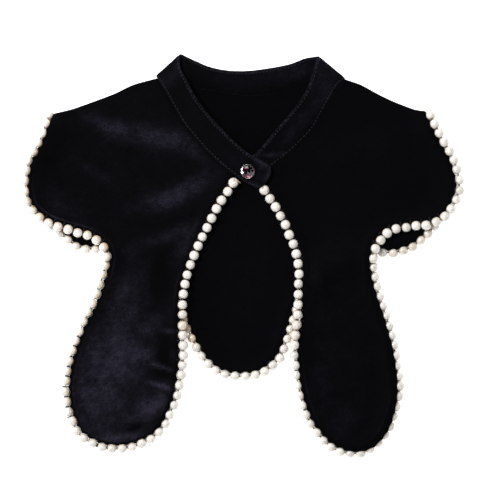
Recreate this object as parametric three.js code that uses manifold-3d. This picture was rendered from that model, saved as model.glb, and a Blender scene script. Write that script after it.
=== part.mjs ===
// A detachable velvet collar with pearl edging, laid flat with its back panel underneath.
// Millimetres, +Z up. The origin is at the middle of the collar, on the surface that it lies on.
import * as THREE from "three";
import { mergeVertices } from "three/addons/utils/BufferGeometryUtils.js";
import Module from "manifold-3d";

const wasm = await Module();
wasm.setup();

// Driving sizes
const cloth = { thickness: 2.4, rimThickness: 1.2, rimWidth: 1.6, edgeRise: 10 };
const spacing = { straight: 18, bend: 0.5, frontGrid: 21, backGrid: 44, layerGap: 0.6, seamGap: 1 };
const pearl = { diameter: 8, pitch: 9, sides: 10, toCloth: 4.8, threadRadius: 0.8, threadSides: 5 };
const drape = { overPearls: 13, overEdge: 16, ridge: 9.6 };
const band = { thickness: 2.6, roundTop: 0.9 };
const button = { x: 5, y: 74.5, tilt: 0.23, turn: -0.86, seat: 12.9, holeRadius: 2.2, sides: 14 };

const velvet = new THREE.MeshStandardMaterial({ color: 0x15151b, roughness: 0.95, metalness: 0 });
const pearlCoat = new THREE.MeshStandardMaterial({ color: 0xf1e9dc, roughness: 0.22, metalness: 0 });
const silver = new THREE.MeshStandardMaterial({ color: 0xc9c8c6, roughness: 0.25, metalness: 1 });
const crystal = new THREE.MeshStandardMaterial({ color: 0xd9c6cf, roughness: 0.05, metalness: 0 });

const table = (columns, values) =>
  values.map((row) => Object.fromEntries(columns.map((name, i) => [name, row[i]])));

// Pearl line of the left front: from the shoulder round the cape, the lobe and up to the neck
const leftFrontPearls = table(["x", "y"], [
  [-166, 127], [-171.5, 116], [-178.5, 99.5], [-187, 83.5], [-190.3, 68],
  [-189.5, 54], [-185, 41], [-169.5, 29], [-151, 22.5], [-133.5, 17],
  [-123.5, 10.5], [-119, 3], [-119.5, -7], [-124, -21.5], [-133, -44.5],
  [-144.5, -70], [-152.5, -96], [-155.5, -115.5], [-153, -134], [-144, -156],
  [-126, -167], [-106.5, -169.5], [-88, -164.5], [-71.5, -152.5], [-58, -124.5],
  [-52.5, -98], [-52, -79], [-53, -51], [-52, -32], [-47.5, -15],
  [-38.5, 9.5], [-23, 40.5], [-5.5, 68],
]);

// Pearl line of the right front: from the neck down the inner edge, round the lobe and the cape
const rightFrontPearls = table(["x", "y"], [
  [17, 62], [35, 33], [46.2, 5.7], [49.7, -13], [49, -32],
  [48.5, -52], [46.2, -73], [46.7, -95], [51.5, -124.5], [63.5, -152.5],
  [82, -170], [100, -173.6], [116.5, -168], [128.5, -154], [135.3, -131.5],
  [138, -113.5], [135.5, -95], [132, -71], [124, -45.5], [119, -30],
  [115.7, -14], [115.4, 1], [118, 9.5], [127, 20], [135, 24.3],
  [149, 26], [166.5, 28.5], [177.5, 34.5], [187, 47], [190.5, 62],
  [187, 81.5], [178, 99], [169.5, 115], [164, 127],
]);

// Pearl line of the back: left cape, tongue, right cape
const backPearls = table(["x", "y"], [
  [-170, 110.5], [-179.5, 91], [-185, 70], [-184.5, 50], [-176, 33],
  [-159, 18], [-141, 7], [-123, 6.2], [-103, 2.7], [-83, -7],
  [-68, -21], [-57.5, -38], [-50.5, -52], [-45.5, -69], [-33, -91.5],
  [-18.5, -102.5], [0.5, -105.4], [18.5, -101.5], [33, -88.5], [40.5, -70],
  [46, -52], [52.5, -35], [62.5, -21], [75.5, -9.5], [95, -0.8],
  [119.5, 3.2], [137, 3.7], [156, 13], [170, 28], [181, 46],
  [184.5, 64], [181, 84], [168.5, 110],
]);

// Shoulder folds, from the neck outwards, and the corners where they meet the edges of the capes
const leftShoulder = table(["x", "y"], [
  [-75, 155], [-96, 149.7], [-112, 142.6], [-130.4, 135.6], [-150, 128.6],
]);
const rightShoulder = table(["x", "y"], [
  [90.5, 155], [104, 150.4], [118, 142.8], [133, 135.6], [151, 128.6],
]);
const capeCorners = { left: { x: -161, y: 124 }, right: { x: 159.5, y: 124.5 }, height: 1.8 };

// Neck band: seam line and top edge, from the tab on the left front, round the back, to the end under the tab
const bandColumns = ["seamX", "seamY", "seamZ", "topX", "topY", "topZ"];
const bandTab = table(bandColumns, [
  [17.4, 65, 9.4, 23.8, 71.6, 11.4],
  [12.6, 60.6, 9.2, 22.2, 76.4, 12.6],
  [3.4, 64.4, 9.0, 15.2, 83.8, 13.6],
]);
const bandLeftFront = table(bandColumns, [
  [-8.2, 72.2, 8.4, 6.8, 89.2, 14.6],
  [-14.5, 77.4, 7.4, 0.4, 94.2, 15.4],
  [-23.6, 85.4, 6, -8, 101.8, 16.2],
  [-34.5, 95.2, 5, -17.6, 111.4, 16.6],
  [-43, 105, 4.6, -26.6, 121, 16.4],
  [-51.6, 117.4, 4.6, -34.6, 131.2, 15.6],
  [-57.8, 131, 4.8, -42, 141.8, 14.2],
  [-66, 143.4, 5, -49, 155.4, 12.4],
  [-72, 152.8, 5.1, -54.4, 166.2, 10.6],
]);
const bandLeftFold = table(bandColumns, [[-75.8, 156, 3.4, -56, 177, 7]]);
const bandBack = table(bandColumns, [
  [-71.2, 155, 1.7, -51.4, 176, 3.6],
  [-56.5, 151.2, 1.6, -41.6, 171.2, 7.6],
  [-38, 147.2, 1.6, -28.4, 166, 12],
  [-17.8, 143.8, 1.6, -12.6, 162.6, 15.4],
  [3.4, 141, 1.6, 4.2, 162.6, 17],
  [24.4, 141.8, 1.6, 22.6, 165, 16.4],
  [43.8, 146, 1.6, 42, 169, 13.4],
  [61.4, 150.6, 1.6, 56.2, 174.2, 8],
  [80.8, 154.4, 1.7, 63.4, 175.4, 3.6],
]);
const bandRightFold = table(bandColumns, [[91.2, 155.2, 3.4, 68, 175.2, 7]]);
const bandRightFront = table(bandColumns, [
  [86.8, 152.6, 5.1, 65.4, 170, 10.6],
  [82, 147.4, 5, 61.8, 160.2, 12.4],
  [77.4, 139.6, 4.8, 56.6, 146.4, 14.2],
  [70.6, 127.6, 4.6, 49, 134, 15.6],
  [62.4, 112.8, 4.5, 38.6, 121, 16],
  [50.8, 100, 4.4, 29, 110.4, 15],
  [38.6, 89, 4.3, 20.6, 100, 13],
  [27.6, 80.6, 4.3, 10.8, 89.6, 10.4],
  [16.6, 71.8, 4.3, 2.4, 84.4, 8.2],
]);
const bandUnderlap = table(bandColumns, [[7, 65.6, 4.3, -5.4, 77.6, 7]]);

// Plane geometry
const smoothstep = THREE.MathUtils.smoothstep;
const lerp = THREE.MathUtils.lerp;

const smoothCurve = (rows) =>
  new THREE.CatmullRomCurve3(rows.map(({ x, y, z = 0 }) => new THREE.Vector3(x, y, z)));

// Points along a curve, further apart where it is straight and closer where it bends
function bendPoints(rows) {
  const curve = smoothCurve(rows);
  const fine = curve.getSpacedPoints(Math.round(curve.getLength()));
  const points = [fine[0]];
  let used = 0;
  for (let i = 1; i + 1 < fine.length; i++) {
    const before = fine[i].clone().sub(fine[i - 1]);
    const after = fine[i + 1].clone().sub(fine[i]);
    used += before.length() / spacing.straight + before.angleTo(after) / spacing.bend;
    if (used < 1) continue;
    points.push(fine[i]);
    used = 0;
  }
  return [...points, fine.at(-1)];
}

// Nearest place on a line of points: its distance and its height
function nearest(line, x, y, closed) {
  let best = { distance: Infinity, z: 0 };
  const last = closed ? line.length : line.length - 1;
  for (let i = 0; i < last; i++) {
    const a = line[i];
    const b = line[(i + 1) % line.length];
    const [dx, dy] = [b.x - a.x, b.y - a.y];
    const along = ((x - a.x) * dx + (y - a.y) * dy) / (dx * dx + dy * dy || 1);
    const t = Math.min(1, Math.max(0, along));
    const distance = Math.hypot(x - a.x - t * dx, y - a.y - t * dy);
    if (distance < best.distance) best = { distance, z: lerp(a.z, b.z, t) };
  }
  return best;
}

function isInside(outline, x, y) {
  let inside = false;
  outline.forEach((a, i) => {
    const b = outline[(i + 1) % outline.length];
    if (a.y > y !== b.y > y && x < ((b.x - a.x) * (y - a.y)) / (b.y - a.y) + a.x) inside = !inside;
  });
  return inside;
}

// A line moved to its left by a distance; a closed outline that runs anticlockwise moves inwards
function movedLeft(line, distance, closed) {
  const count = line.length;
  const at = (i) => (closed ? line[(i + count) % count] : line[Math.min(count - 1, Math.max(0, i))]);
  return line.map((p, i) => {
    const before = new THREE.Vector2(p.x - at(i - 1).x, p.y - at(i - 1).y).normalize();
    const after = new THREE.Vector2(at(i + 1).x - p.x, at(i + 1).y - p.y).normalize();
    const along = before.clone().add(after).normalize();
    const reach = distance / Math.max(0.7, along.dot(before.lengthSq() ? before : after));
    return new THREE.Vector3(p.x - along.y * reach, p.y + along.x * reach, p.z);
  });
}

// Delaunay triangles of points in the plane, put in one at a time
function triangulated(points) {
  const far = 5000;
  const count = points.length;
  const all = [...points, { x: -far, y: -far }, { x: far, y: -far }, { x: 0, y: far }];
  const circleHolds = (corners, p) => {
    const [a, b, c] = corners.map((k) => [all[k].x - p.x, all[k].y - p.y]);
    const square = ([x, y]) => x * x + y * y;
    const cross = (p1, p2) => p1[0] * p2[1] - p1[1] * p2[0];
    return square(a) * cross(b, c) - square(b) * cross(a, c) + square(c) * cross(a, b) > 0;
  };
  let triangles = [[count, count + 1, count + 2]];
  points.forEach((p, added) => {
    const rim = new Map();
    triangles = triangles.filter((corners) => {
      if (!circleHolds(corners, p)) return true;
      corners.forEach((from, k) => {
        const to = corners[(k + 1) % 3];
        if (!rim.delete(`${to} ${from}`)) rim.set(`${from} ${to}`, [from, to]);
      });
      return false;
    });
    for (const [from, to] of rim.values()) triangles.push([from, to, added]);
  });
  return triangles.filter((corners) => corners.every((k) => k < count));
}

function closedGeometry(positions, index) {
  const geometry = new THREE.BufferGeometry();
  geometry.setAttribute("position", new THREE.Float32BufferAttribute(positions, 3));
  geometry.setIndex(index);
  geometry.computeVertexNormals();
  return geometry;
}

// A panel of cloth with a rounded rim. The outline carries the height of its edge, and restHeight
// gives the height of the cloth's middle away from the edge. A ridge under it is a row of its points.
function clothPanel(outline, restHeight, gridStep, ridge) {
  const innerRim = movedLeft(outline, cloth.rimWidth, true);
  const fold = movedLeft(outline, cloth.edgeRise, true);
  const isClear = (p, room) =>
    isInside(outline, p.x, p.y) && nearest(outline, p.x, p.y, true).distance > cloth.edgeRise + room;
  const grid = ridge.filter((p) => isClear(p, cloth.edgeRise / 3));
  const box = new THREE.Box3().setFromPoints(outline);
  const rowStep = gridStep * Math.sin(Math.PI / 3);
  for (let y = box.min.y, odd = 0; y < box.max.y; y += rowStep, odd = 1 - odd) {
    for (let x = box.min.x + (odd * gridStep) / 2; x < box.max.x; x += gridStep) {
      const offRidge = !ridge.length || nearest(ridge, x, y, false).distance > gridStep / 2;
      if (offRidge && isClear({ x, y }, gridStep / 3)) grid.push({ x, y });
    }
  }
  const edgeCount = outline.length;
  const flat = [...innerRim, ...fold, ...grid];
  const positions = [];
  const addSide = (sign) => {
    [...outline, ...flat].forEach((p, i) => {
      const edge = nearest(outline, p.x, p.y, true);
      const middle = lerp(edge.z, restHeight(p.x, p.y), smoothstep(edge.distance, 0, cloth.edgeRise));
      const half = (i < edgeCount ? cloth.rimThickness : cloth.thickness) / 2;
      positions.push(p.x, p.y, middle + sign * half);
    });
  };
  addSide(1);
  addSide(-1);
  const under = edgeCount + flat.length;
  const index = [];
  const addBoth = (a, b, c) => index.push(a, b, c, under + a, under + c, under + b);
  for (const [a, b, c] of triangulated(flat)) {
    const x = (flat[a].x + flat[b].x + flat[c].x) / 3;
    const y = (flat[a].y + flat[b].y + flat[c].y) / 3;
    if (isInside(innerRim, x, y)) addBoth(a + edgeCount, b + edgeCount, c + edgeCount);
  }
  for (let i = 0; i < edgeCount; i++) {
    const next = (i + 1) % edgeCount;
    addBoth(i, next, next + edgeCount);
    addBoth(i, next + edgeCount, i + edgeCount);
    index.push(under + i, under + next, next, under + i, next, i);
  }
  return closedGeometry(positions, index);
}

// Heights of the layers
const backRest = cloth.thickness / 2;
const radius = pearl.diameter / 2;
const atHeight = (z) => (p) => new THREE.Vector3(p.x, p.y, z);
const seamLine = (rows) => rows.map((r) => new THREE.Vector3(r.seamX, r.seamY, r.seamZ));
const backPearlLine = bendPoints(backPearls).map(atHeight(radius));

function clothEdge(pearlRows) {
  return movedLeft(bendPoints(pearlRows), pearl.toCloth, false);
}

const backOutline = [
  atHeight(capeCorners.height)(capeCorners.left),
  ...clothEdge(backPearls).map(atHeight(radius - 0.3)),
  atHeight(capeCorners.height)(capeCorners.right),
  ...[...rightShoulder].reverse().map(atHeight(backRest)),
  ...seamLine(bandBack).reverse().map(atHeight(backRest + 0.3)),
  ...leftShoulder.map(atHeight(backRest)),
];

// Height of what lies under the front layer: the floor, the back panel, and the back's pearls as a ridge
const ridgeHeight = (distance) => drape.ridge * Math.exp(-((distance / drape.overPearls) ** 2));

function underFront(x, y) {
  const { distance } = nearest(backPearlLine, x, y, false);
  const onBack = isInside(backOutline, x, y) ? smoothstep(distance, 0, drape.overEdge) : 0;
  return cloth.thickness * onBack + ridgeHeight(distance);
}

const frontRest = (x, y) => underFront(x, y) + spacing.layerGap + cloth.thickness / 2;
const frontPearlHeight = (x, y) => underFront(x, y) + spacing.layerGap + radius;

function frontPearlLine(rows) {
  return rows.map(({ x, y }) => ({ x, y, z: frontPearlHeight(x, y) }));
}

function frontOutline(pearlRows, shoulder, seam, pearlsFirst) {
  const edge = clothEdge(pearlRows).map((p) => atHeight(frontPearlHeight(p.x, p.y) - 0.2)(p));
  const foldHeight = (p) => 1.5 * cloth.thickness + spacing.layerGap
    + ridgeHeight(nearest(backPearlLine, p.x, p.y, false).distance);
  const fold = shoulder.map((p) => atHeight(foldHeight(p))(p));
  return pearlsFirst ? [...edge, ...fold.reverse(), ...seam] : [...edge, ...seam, ...fold];
}

const leftOutline = frontOutline(leftFrontPearls, leftShoulder, seamLine(bandLeftFront), false);
const rightOutline = frontOutline(rightFrontPearls, rightShoulder, seamLine(bandRightFront), true);

// A string of round beads on a thread, joined to one solid
function pearlString(rows) {
  const curve = smoothCurve(rows);
  const length = curve.getLength();
  const count = Math.round(length / pearl.pitch);
  const pitch = length / count;
  const shoulderAt = 0.27 * pearl.diameter;
  const ringRadius = 0.485 * pearl.diameter;
  const positions = [];
  const index = [];
  const addRing = (distance, ringSize, sides) => {
    const along = Math.min(1, Math.max(0, distance / length));
    const centre = curve.getPointAt(along);
    const forward = curve.getTangentAt(along);
    const side = new THREE.Vector3(0, 0, 1).cross(forward).normalize();
    const up = forward.clone().cross(side);
    const first = positions.length / 3;
    for (let k = 0; k < sides; k++) {
      const angle = (2 * Math.PI * k) / sides;
      const p = centre.clone().addScaledVector(side, ringSize * Math.cos(angle));
      p.addScaledVector(up, ringSize * Math.sin(angle));
      positions.push(p.x, p.y, p.z);
    }
    return first;
  };
  const addBelt = (from, to) => {
    for (let k = 0; k < pearl.sides; k++) {
      const next = (k + 1) % pearl.sides;
      index.push(from + k, from + next, to + next, from + k, to + next, to + k);
    }
  };
  // Between a thread ring and a bead ring; forwards when the bead follows the thread
  const addShoulder = (thread, bead, forwards) => {
    const add = (a, b, c) => index.push(...(forwards ? [a, b, c] : [a, c, b]));
    for (let k = 0; k < pearl.threadSides; k++) {
      const next = (k + 1) % pearl.threadSides;
      const [b0, b1, b2] = [2 * k, 2 * k + 1, (2 * k + 2) % pearl.sides].map((i) => bead + i);
      add(thread + k, b1, b0);
      add(thread + k, thread + next, b1);
      add(thread + next, b2, b1);
    }
  };
  let thread = addRing(0, pearl.threadRadius, pearl.threadSides);
  for (let k = 1; k + 1 < pearl.threadSides; k++) index.push(thread, thread + k + 1, thread + k);
  for (let i = 0; i < count; i++) {
    const middle = (i + 0.5) * pitch;
    const front = addRing(middle - shoulderAt, ringRadius, pearl.sides);
    const back = addRing(middle + shoulderAt, ringRadius, pearl.sides);
    addShoulder(thread, front, true);
    addBelt(front, back);
    thread = addRing(middle + pitch / 2, pearl.threadRadius, pearl.threadSides);
    addShoulder(thread, back, false);
  }
  for (let k = 1; k + 1 < pearl.threadSides; k++) index.push(thread, thread + k, thread + k + 1);
  return closedGeometry(positions, index);
}

// The back's string is carried as a plain round tube of the pearls' diameter
function pearlTube(rows) {
  const curve = smoothCurve(rows);
  const sides = 8;
  const steps = 56;
  const section = new THREE.Shape();
  for (let k = 0; k < sides; k++) {
    const angle = (2 * Math.PI * k) / sides;
    section[k ? "lineTo" : "moveTo"](radius * Math.cos(angle), radius * Math.sin(angle));
  }
  return new THREE.ExtrudeGeometry(section, { steps, extrudePath: curve, bevelEnabled: false });
}

// Manifold solids
function toSolid(geometry) {
  const bare = geometry.clone();
  bare.deleteAttribute("normal");
  bare.deleteAttribute("uv");
  const merged = mergeVertices(bare, 1e-4);
  const vertProperties = merged.attributes.position.array;
  const triVerts = new Uint32Array(merged.index.array);
  return new wasm.Manifold(new wasm.Mesh({ numProp: 3, vertProperties, triVerts }));
}

function fromSolid(solid) {
  const { vertProperties, triVerts } = solid.getMesh();
  return closedGeometry([...vertProperties], [...triVerts]);
}

// The stand band: one strip with a rounded top edge, folded at both sides of the neck
function bandStrip(rows) {
  const seams = rows.map((r) => new THREE.Vector3(r.seamX, r.seamY, r.seamZ));
  const tops = rows.map((r) => new THREE.Vector3(r.topX, r.topY, r.topZ));
  const middles = seams.map((p, i) => p.clone().add(tops[i]).multiplyScalar(0.5));
  const half = band.thickness / 2;
  const positions = [];
  const section = [];
  rows.forEach((_, i) => {
    const next = middles[Math.min(rows.length - 1, i + 1)];
    const along = next.clone().sub(middles[Math.max(0, i - 1)]).normalize();
    const rise = tops[i].clone().sub(seams[i]);
    const height = rise.length();
    rise.normalize();
    const out = rise.clone().cross(along).normalize();
    const profile = [
      [spacing.seamGap, -half], [height - band.roundTop, -half], [height, -half / 2],
      [height, half / 2], [height - band.roundTop, half], [spacing.seamGap, half],
    ];
    section.push(positions.length / 3);
    for (const [up, across] of profile) {
      const p = seams[i].clone().addScaledVector(rise, up).addScaledVector(out, across);
      positions.push(p.x, p.y, p.z);
    }
  });
  const corners = 6;
  const index = [];
  for (let i = 0; i + 1 < section.length; i++) {
    const [from, to] = [section[i], section[i + 1]];
    for (let k = 0; k < corners; k++) {
      const next = (k + 1) % corners;
      index.push(from + k, to + next, from + next, from + k, to + k, to + next);
    }
  }
  const last = section.at(-1);
  for (let k = 1; k + 1 < corners; k++) {
    index.push(0, k, k + 1);
    index.push(last, last + k + 1, last + k);
  }
  return closedGeometry(positions, index);
}

const buttonAxis = new THREE.Matrix4()
  .makeTranslation(button.x, button.y, button.seat)
  .multiply(new THREE.Matrix4().makeRotationZ(button.turn))
  .multiply(new THREE.Matrix4().makeRotationX(button.tilt));

function turned(profile, sides) {
  const points = profile.map(([r, h]) => new THREE.Vector2(r, h));
  return new THREE.LatheGeometry(points, sides).rotateX(Math.PI / 2);
}

function neckBand() {
  const rows = [
    ...bandTab, ...bandLeftFront, ...bandLeftFold, ...bandBack,
    ...bandRightFold, ...bandRightFront, ...bandUnderlap,
  ];
  const { holeRadius, sides } = button;
  const holeBottom = -3.9;
  const hole = turned([[0, holeBottom], [holeRadius, holeBottom], [holeRadius, 2], [0, 2]], sides);
  return fromSolid(toSolid(bandStrip(rows)).subtract(toSolid(hole.applyMatrix4(buttonAxis))));
}

// Button: a cup with its shank through the tab, and a faceted stone with a flat table
const settingProfile = [
  [0, -3.6], [1.5, -3.6], [1.5, 0], [6, 0], [6.8, 0.9], [6.6, 2.5], [5.9, 2.5], [5.5, 1], [0, 1],
];
const crystalProfile = [[0, 1.3], [4.6, 1.3], [5.4, 2.4], [3, 4], [0, 4]];
const crystalSides = 12;

const collar = new THREE.Group();

function addPiece(name, geometry, material) {
  const mesh = new THREE.Mesh(geometry, material);
  mesh.name = name;
  collar.add(mesh);
}

addPiece("back_panel", clothPanel(backOutline, () => backRest, spacing.backGrid, []), velvet);
for (const [side, outline] of [["left", leftOutline], ["right", rightOutline]]) {
  addPiece(`front_panel_${side}`, clothPanel(outline, frontRest, spacing.frontGrid, backPearlLine), velvet);
}
addPiece("neck_band", neckBand(), velvet);
addPiece("button_setting", turned(settingProfile, button.sides).applyMatrix4(buttonAxis), silver);
addPiece("button_crystal", turned(crystalProfile, crystalSides).applyMatrix4(buttonAxis), crystal);
addPiece("pearls_front_left", pearlString(frontPearlLine(leftFrontPearls)), pearlCoat);
addPiece("pearls_front_right", pearlString(frontPearlLine(rightFrontPearls)), pearlCoat);
addPiece("pearls_back", pearlTube(backPearls.map(atHeight(radius))), pearlCoat);

export default collar;
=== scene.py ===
# A black velvet shoulder collar with pearl edging, laid flat: cloth, band, button and pearls
import math
import random

import bpy
import numpy as np
from mathutils import Matrix, Vector, noise
from mathutils.geometry import delaunay_2d_cdt


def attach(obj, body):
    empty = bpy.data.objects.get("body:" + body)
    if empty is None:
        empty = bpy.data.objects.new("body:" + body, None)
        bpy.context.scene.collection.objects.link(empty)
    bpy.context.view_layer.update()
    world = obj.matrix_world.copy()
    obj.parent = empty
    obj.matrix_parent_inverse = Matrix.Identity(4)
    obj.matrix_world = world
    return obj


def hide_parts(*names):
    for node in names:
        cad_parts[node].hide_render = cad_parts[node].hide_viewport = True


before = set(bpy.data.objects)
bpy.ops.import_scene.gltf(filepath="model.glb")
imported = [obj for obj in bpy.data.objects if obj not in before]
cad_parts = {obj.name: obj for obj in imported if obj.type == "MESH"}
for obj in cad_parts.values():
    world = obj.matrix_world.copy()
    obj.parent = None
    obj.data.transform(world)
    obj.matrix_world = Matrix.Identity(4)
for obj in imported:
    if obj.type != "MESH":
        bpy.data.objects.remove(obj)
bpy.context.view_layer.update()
mm = 0.001  # shapes are laid out in millimetres, and scaled once, when a mesh is made
print("frame loaded")

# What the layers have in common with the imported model
cloth = {"thickness": 2.4, "edgeRise": 10, "layerGap": 0.6, "toPearls": 4.8}
drape = {"overPearls": 13, "overEdge": 16, "ridge": 9.6}
pearlSize = {"radius": 4, "pitch": 9}

# Camera: straight above, far enough away that the raised edges hardly shift outwards
cameraSetup = {"x": 7.3, "y": 12.4, "height": 3675, "lens": 300, "sensor": 36, "farClip": 20}
cameraData = bpy.data.cameras.new("camera")
cameraData.lens = cameraSetup["lens"]
cameraData.sensor_width = cameraSetup["sensor"]
cameraData.sensor_fit = "HORIZONTAL"
cameraData.clip_end = cameraSetup["farClip"]
camera = bpy.data.objects.new("camera", cameraData)
bpy.context.collection.objects.link(camera)
camera.location = [cameraSetup[k] * mm for k in ("x", "y", "height")]
bpy.context.scene.camera = camera
bpy.context.scene.view_settings.view_transform = "Standard"

# Pearl lines as x, y and how far the velvet's edge rolls out over the pearls
leftFrontPearls = [
    (-167.3, 124.6, 1.5), (-172, 115, 2.2), (-178.5, 99.5, 1.4), (-187, 83.5, 1.4), (-190.3, 68, 1.7),
    (-189.5, 54, 2.0), (-185, 41, 0.6), (-169.5, 29, 0.2), (-151, 22.5, 0), (-133.5, 17, 0),
    (-123.5, 10.5, 0), (-119, 3, 0.8), (-119.5, -7, 1.4), (-124, -21.5, 0.9), (-133, -44.5, 0.9),
    (-144.5, -70, 1.6), (-152.5, -96, 1.3), (-155.5, -115.5, 0.9), (-153, -134, 1.0), (-144, -156, 0.6),
    (-126, -167, 0.8), (-106.5, -169.5, 1.0), (-88, -164.5, 1.0), (-71.5, -152.5, 1.6), (-58, -124.5, 1.5),
    (-52.2, -98, 0.4), (-51.6, -77, 0.8), (-52.4, -51, 0.8), (-51.8, -32, 0.4), (-47.5, -15, 0),
    (-38.5, 9.5, 0), (-23, 40.5, 0), (-5.5, 68, 0),
]
rightFrontPearls = [
    (17, 62, 0), (35, 33, 0), (46.2, 5.7, 0), (49.7, -13, 0), (49, -32, 0),
    (48.5, -52, 0.5), (46.2, -73, 1.4), (46.7, -95, 1.8), (51.5, -124.5, 2.0), (63.5, -152.5, 1.2),
    (82, -170, 1.4), (100, -173.6, 2.6), (116, -167.2, 4.5), (127.7, -153.3, 4.6), (135.3, -131.5, 4.2),
    (138, -113.5, 2.5), (135.5, -95, 3.8), (132, -71, 2.2), (124, -45.5, 2.3), (119, -30, 2.0),
    (115.7, -14, 1.9), (115.4, 1, 1.2), (118, 9.5, 0.4), (127, 20, 0), (135, 24.3, 0),
    (149, 26, 0), (166.5, 28.5, 0), (177.5, 34.5, 0.2), (187, 47, 0.5), (190.5, 62, 0.9),
    (187, 81.5, 0.2), (178, 99, 0), (169.5, 115, 0.5), (164, 127, 1.0),
]
backPearls = [
    (-170, 110.5, 0), (-179.5, 91, 0), (-185, 70, 0), (-184.5, 50, 0), (-175.5, 34, 0),
    (-166, 26, 0.8), (-157, 17, 1.4), (-141, 7, 1.5), (-123, 6.2, 1.2), (-103, 2.7, 0),
    (-83, -7, 0), (-68, -21, 0), (-58.5, -38, 0.8), (-52.8, -51, 1.4), (-47, -66.5, 1.6),
    (-39.4, -81.4, 1.2), (-31.6, -93.2, 1.0), (-18.7, -103, 0.9), (0.5, -105.9, 0.9), (18.7, -102, 0.9),
    (33.4, -88.9, 0.9), (40.5, -70, 1.3), (46, -52, 1.2), (52.5, -35, 0.6), (62.5, -21, 0),
    (75.5, -9.5, 0), (95, -0.8, 0), (119.5, 3.2, 1.3), (137, 3.7, 1.6), (156, 13, 1.6), (170, 28, 0.8),
    (181, 46, 0), (184.5, 64, 0), (181, 84, 0), (168.5, 110, 0),
]

# Shoulder folds from the neck outwards, and the outer corners of the back
leftShoulder = [(-75, 156), (-96, 150.2), (-112, 142.6), (-130.4, 135.6), (-150, 128.6)]
rightShoulder = [(90.5, 155), (104, 150.4), (118, 142.8), (133, 135.6), (151, 128.6)]
capeCorners = {"left": (-161, 124), "right": (159.5, 124.5)}

# Neck band: seam x, y, z and top edge x, y, z, from the tab round the back to the end under the tab
bandTab = [(18.3, 57.1, 9.2, 28.1, 78.1, 11.4), (9.8, 61, 9.1, 19.6, 82.1, 12.7), (3.4, 64.4, 9.0, 15.2, 84.6, 13.6)]
bandLeftFront = [
    (-8.2, 72.2, 8.4, 6.8, 89.2, 14.6), (-14.5, 77.4, 7.4, 0.4, 94.2, 15.4), (-23.6, 85.4, 6, -8, 101.8, 16.2),
    (-33.3, 95.2, 5, -17.6, 111.4, 16.6), (-41.6, 105, 4.6, -26.6, 121, 16.4), (-51.6, 117.4, 4.6, -34.6, 131.2, 15.6),
    (-59.6, 131, 4.8, -42, 141.8, 14.2), (-66.8, 143.4, 5, -49, 155.4, 12.4), (-72, 152.8, 5.1, -54.4, 166.2, 10.6),
]
bandLeftFold = [(-75.4, 157.5, 3.4, -53.6, 177, 7)]
bandBack = [
    (-70.4, 155, 1.7, -50, 175.8, 3.6), (-56.5, 151.2, 1.6, -40.8, 171.4, 7.6), (-38, 147.2, 1.6, -28.4, 166, 12),
    (-17.8, 143.8, 1.6, -12.6, 162.6, 15.4), (3.4, 141, 1.6, 4.2, 162.2, 17), (24.4, 141.8, 1.6, 22.6, 164.4, 16.4),
    (43.8, 146, 1.6, 42, 168.4, 13.4), (61.4, 150.6, 1.6, 55, 173.6, 8), (80.8, 154.4, 1.7, 61.6, 175, 3.6),
]
bandRightFold = [(90.4, 155.2, 3.4, 66, 175, 7)]
bandRightFront = [
    (86.6, 152.6, 5.1, 64.6, 170, 10.6), (82, 147.4, 5, 61.8, 160.2, 12.4), (77.4, 139.6, 4.8, 56.6, 146.4, 14.2),
    (70.6, 127.6, 4.6, 49, 134, 15.6), (62.4, 112.8, 4.5, 38.6, 121, 16), (50.8, 100, 4.4, 29, 110.4, 15),
    (38.6, 89, 4.3, 20.6, 100, 13), (27.6, 80.6, 4.3, 10.8, 89.6, 10.4), (16.6, 71.8, 4.3, 2.4, 84.4, 8.2),
]
bandUnderlap = [(7, 65.6, 4.3, -5.4, 77.6, 7)]


# Lines in the plane and in space
perSpan = 24  # points of a curve between two of its rows
chunk = 1500  # points measured at a time
tiny = 1e-9
sharpest = 0.7  # a corner reaches out no further than one over this


def smoothstep(x, low, high):
    t = np.clip((x - low) / (high - low), 0, 1)
    return t * t * (3 - 2 * t)


def rounded(x, width):  # up like a quarter circle
    return np.sqrt(1 - (1 - np.minimum(x / width, 1)) ** 2)


def bell(x, middle, width):  # one in the middle, and soft to both sides
    return np.exp(-(((x - middle) / width) ** 2))


def curveThrough(rows):
    p = np.array(rows, float)
    p = np.vstack([2 * p[0] - p[1], p, 2 * p[-1] - p[-2]])
    t = np.arange(perSpan)[:, None] / perSpan
    spans = []
    for a, b, c, d in zip(p, p[1:], p[2:], p[3:]):
        g0, g1, g2 = (np.sum((v - u) ** 2) ** 0.25 for u, v in ((a, b), (b, c), (c, d)))
        m1 = ((b - a) / g0 - (c - a) / (g0 + g1) + (c - b) / g1) * g1
        m2 = ((c - b) / g1 - (d - b) / (g1 + g2) + (d - c) / g2) * g1
        spans.append(b + m1 * t + (3 * c - 3 * b - 2 * m1 - m2) * t**2 + (2 * b - 2 * c + m1 + m2) * t**3)
    return np.vstack([*spans, p[-2:-1]])


def distancesAlong(line, axes=3):
    steps = np.linalg.norm(np.diff(line[:, :axes], axis=0), axis=1)
    return np.concatenate([[0], np.cumsum(steps)])


def atDistances(line, distances, axes=3):
    along = distancesAlong(line, axes)
    return np.stack([np.interp(distances, along, line[:, k]) for k in range(line.shape[1])], axis=1)


def evenly(line, step, axes=3):  # with two axes, steps are measured in the plane
    total = distancesAlong(line, axes)[-1]
    return atDistances(line, np.linspace(0, total, max(1, round(total / step)) + 1), axes)


def unit(vectors):
    return vectors / np.maximum(np.linalg.norm(vectors, axis=-1, keepdims=True), tiny)


def inChunks(points):
    return np.array_split(points[:, :2], max(1, len(points) // chunk))


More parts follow.
